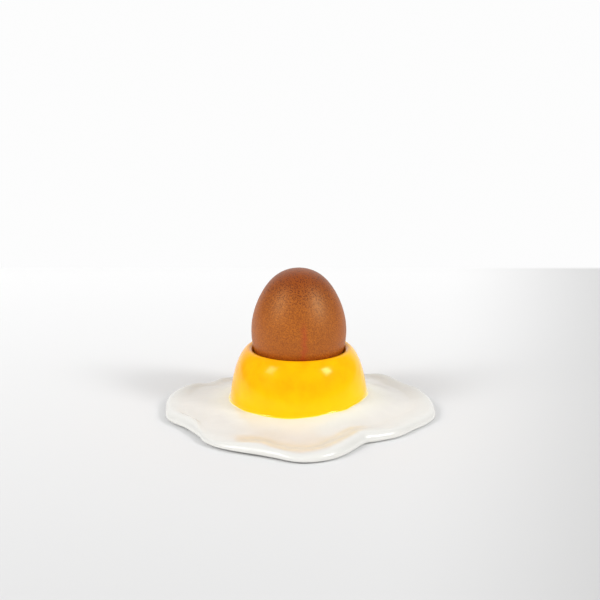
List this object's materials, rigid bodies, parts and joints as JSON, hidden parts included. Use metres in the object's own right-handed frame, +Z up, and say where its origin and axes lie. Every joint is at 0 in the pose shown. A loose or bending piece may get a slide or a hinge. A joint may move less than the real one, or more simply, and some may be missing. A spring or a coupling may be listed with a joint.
{
  "type": "boiled egg in egg cup",
  "caption": "Brown hen's egg standing point up in a glazed ceramic egg cup shaped like a fried egg, with a yolk-yellow holder and a wavy white saucer.",
  "frame": {"origin": "middle of the cup's flat foot, on the table, under the egg's axis", "axes": "+Z up along the egg's axis, -Y towards the longest tongue of the white, +X to the right when seen from there"},
  "size_m": [0.1262, 0.12, 0.0676],
  "materials": {
    "eggshell": "satin brown eggshell with fine darker speckles",
    "white_glaze": "glossy warm white glaze, with a glossy warm yellow glaze on the yolk"
  },
  "bodies": {
    "root": {"egg": "eggshell", "egg_cup": "white_glaze"}
  },
  "joints": []
}
